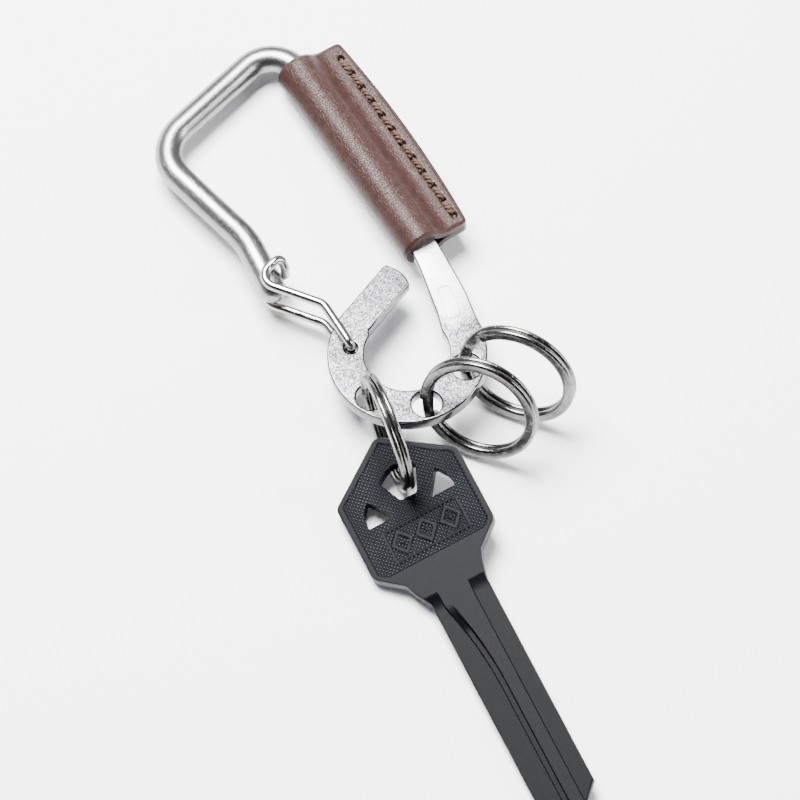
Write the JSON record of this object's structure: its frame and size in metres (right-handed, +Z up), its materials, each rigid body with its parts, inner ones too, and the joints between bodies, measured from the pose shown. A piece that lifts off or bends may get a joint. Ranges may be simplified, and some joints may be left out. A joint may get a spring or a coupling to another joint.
{
  "type": "carabiner keyring with a key",
  "caption": "Bent-steel carabiner keyring with a leather grip, a wire gate and a hook plate that carries split rings and a blank key.",
  "frame": {"origin": "centre of the hook's eye, at the middle of the plate's thickness", "axes": "+Y runs up the leather grip to the carabiner's top, +Z is up from the table it lies on, +X is to the grip's side"},
  "size_m": [0.043, 0.1342, 0.0185],
  "materials": {
    "rod_steel": "satin",
    "plate_steel": "tumbled faces with polished edges",
    "wire_steel": "bright drawn wire",
    "ring_steel": "polished spring steel",
    "sleeve_leather": "smooth, low sheen, cut edges darker",
    "waxed_thread": "waxed twist",
    "key_black": "blackened, satin, knurled bow"
  },
  "bodies": {
    "carabiner": {"carabiner_rod": "rod_steel", "hook_plate": "plate_steel", "leather_sleeve": "sleeve_leather", "sewing_thread": "waxed_thread"},
    "gate": {"wire_gate": "wire_steel"},
    "ring_a": {"ring_1": "ring_steel"},
    "ring_b": {"ring_2": "ring_steel"},
    "ring_c": {"ring_3": "ring_steel"},
    "key": {"key_blank": "key_black"}
  },
  "joints": [
    {"name": "gate_pivot", "type": "hinge", "parent": "carabiner", "child": "gate", "pos_m": [-0.00665, 0.00529, -0.00028], "axis": [0, -0.0523, -0.9986], "range_deg": [0, 28], "stiffness_Nm_per_rad": 0.02, "springref_deg": -11.46},
    {"name": "ring_1_turn", "type": "hinge", "parent": "carabiner", "child": "ring_a", "pos_m": [0.01163, -0.01228, 0.003], "axis": [-0.7755, -0.5759, 0.2588], "continuous": true},
    {"name": "ring_2_turn", "type": "hinge", "parent": "carabiner", "child": "ring_b", "pos_m": [0.00378, -0.01426, 0.00309], "axis": [-0.7515, -0.5642, 0.342], "continuous": true},
    {"name": "ring_3_swing", "type": "hinge", "parent": "carabiner", "child": "ring_c", "pos_m": [-0.00845, -0.0035, 0.00018], "axis": [0, 0.0523, 0.9986], "range_deg": [-40, 8]},
    {"name": "key_swing", "type": "hinge", "parent": "ring_c", "child": "key", "pos_m": [-0.00993, -0.01065, 0.00295], "axis": [-0.9817, 0.1855, -0.0436], "range_deg": [-6, 60]}
  ]
}
